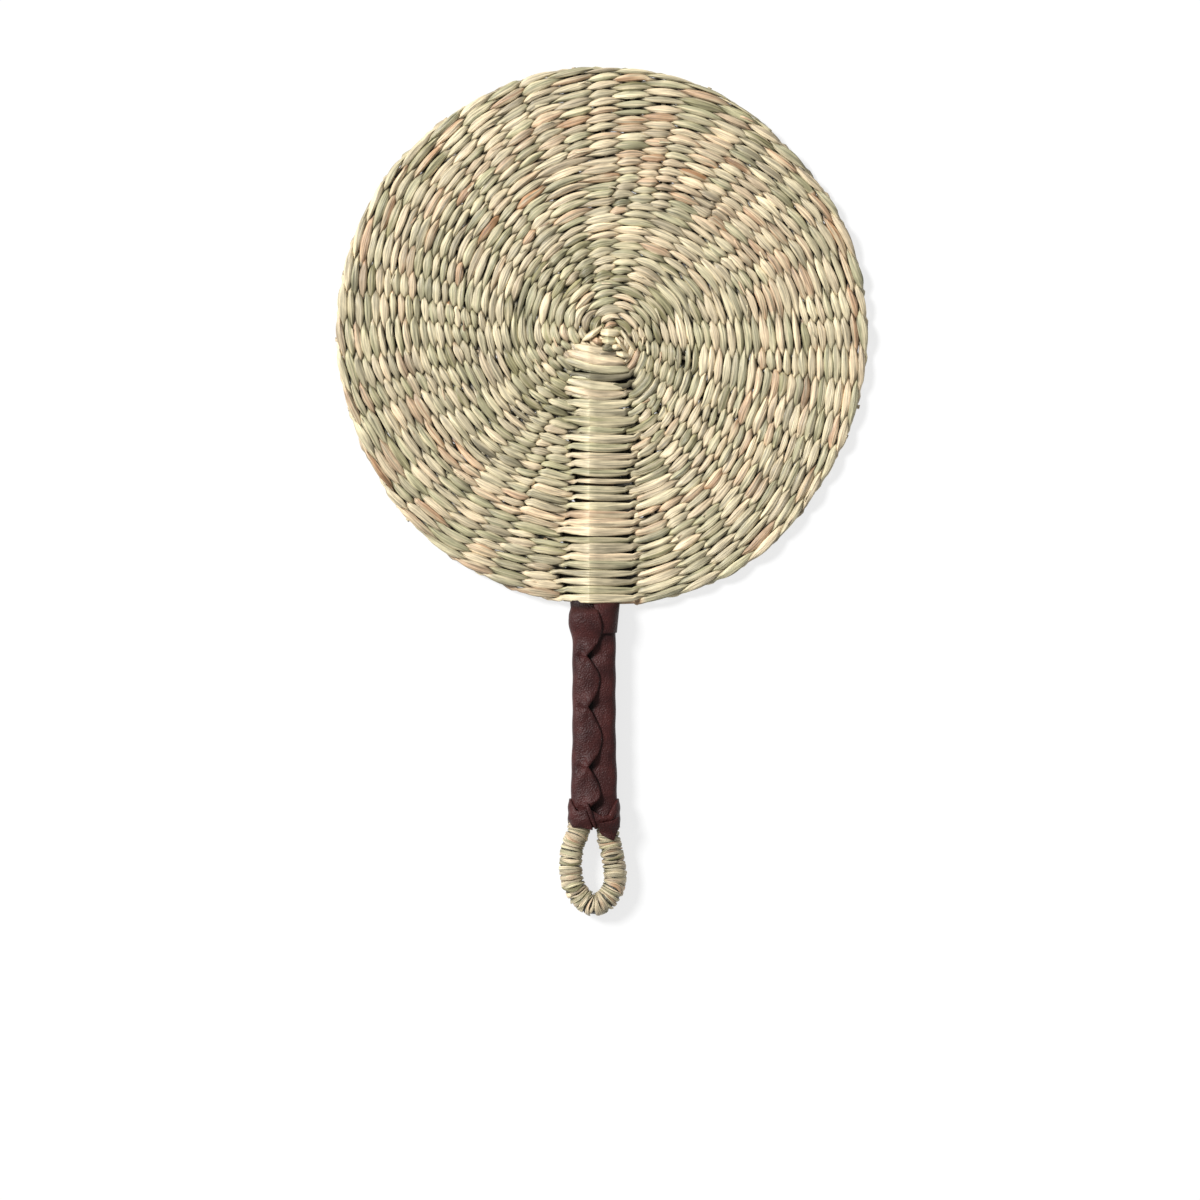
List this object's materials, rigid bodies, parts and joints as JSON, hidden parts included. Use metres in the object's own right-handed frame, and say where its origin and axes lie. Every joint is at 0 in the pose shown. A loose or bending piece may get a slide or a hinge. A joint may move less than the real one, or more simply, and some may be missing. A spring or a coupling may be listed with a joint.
{
  "type": "hand fan",
  "caption": "Round hand fan twined from seagrass on a ridged wooden stave, with a lapped leather grip and a grass-wound hanging loop.",
  "frame": {"origin": "middle of the fan's outline, on the plane that the fan lies on with its front up", "axes": "+X across the disc, +Y along the stave from the hanging loop to the top of the disc, +Z out of the front face"},
  "size_m": [0.25, 0.4, 0.0175],
  "materials": {
    "straw_grass": "dry straw-coloured seagrass with fine fibre lines and a slight sheen",
    "green_grass": "dry sage-green seagrass with fine fibre lines and a slight sheen",
    "spoke_grass": "dry grass stalks, mostly hidden",
    "stave_wood": "plain unvarnished wood",
    "brown_leather": "dark reddish-brown, fine pebble grain, semi-matt"
  },
  "bodies": {
    "root": {"spoke_01": "spoke_grass", "spoke_02": "spoke_grass", "spoke_03": "spoke_grass", "spoke_04": "spoke_grass", "spoke_05": "spoke_grass", "spoke_06": "spoke_grass", "spoke_07": "spoke_grass", "spoke_08": "spoke_grass", "spoke_09": "spoke_grass", "spoke_10": "spoke_grass", "spoke_11": "spoke_grass", "spoke_12": "spoke_grass", "spoke_13": "spoke_grass", "spoke_14": "spoke_grass", "spoke_15": "spoke_grass", "spoke_16": "spoke_grass", "spoke_17": "spoke_grass", "spoke_18": "spoke_grass", "spoke_19": "spoke_grass", "spoke_20": "spoke_grass", "spoke_21": "spoke_grass", "spoke_22": "spoke_grass", "spoke_23": "spoke_grass", "spoke_24": "spoke_grass", "spoke_25": "spoke_grass", "spoke_26": "spoke_grass", "spoke_27": "spoke_grass", "spoke_28": "spoke_grass", "spoke_29": "spoke_grass", "spoke_30": "spoke_grass", "spoke_31": "spoke_grass", "weft_strand_a": "straw_grass", "weft_strand_b": "green_grass", "centre_knot": "straw_grass", "stave": "stave_wood", "leather_wrap": "brown_leather", "top_collar": "brown_leather", "bottom_band": "brown_leather", "band_tail": "brown_leather", "band_keeper": "brown_leather", "loop_core": "straw_grass", "loop_winding": "straw_grass"}
  },
  "joints": []
}
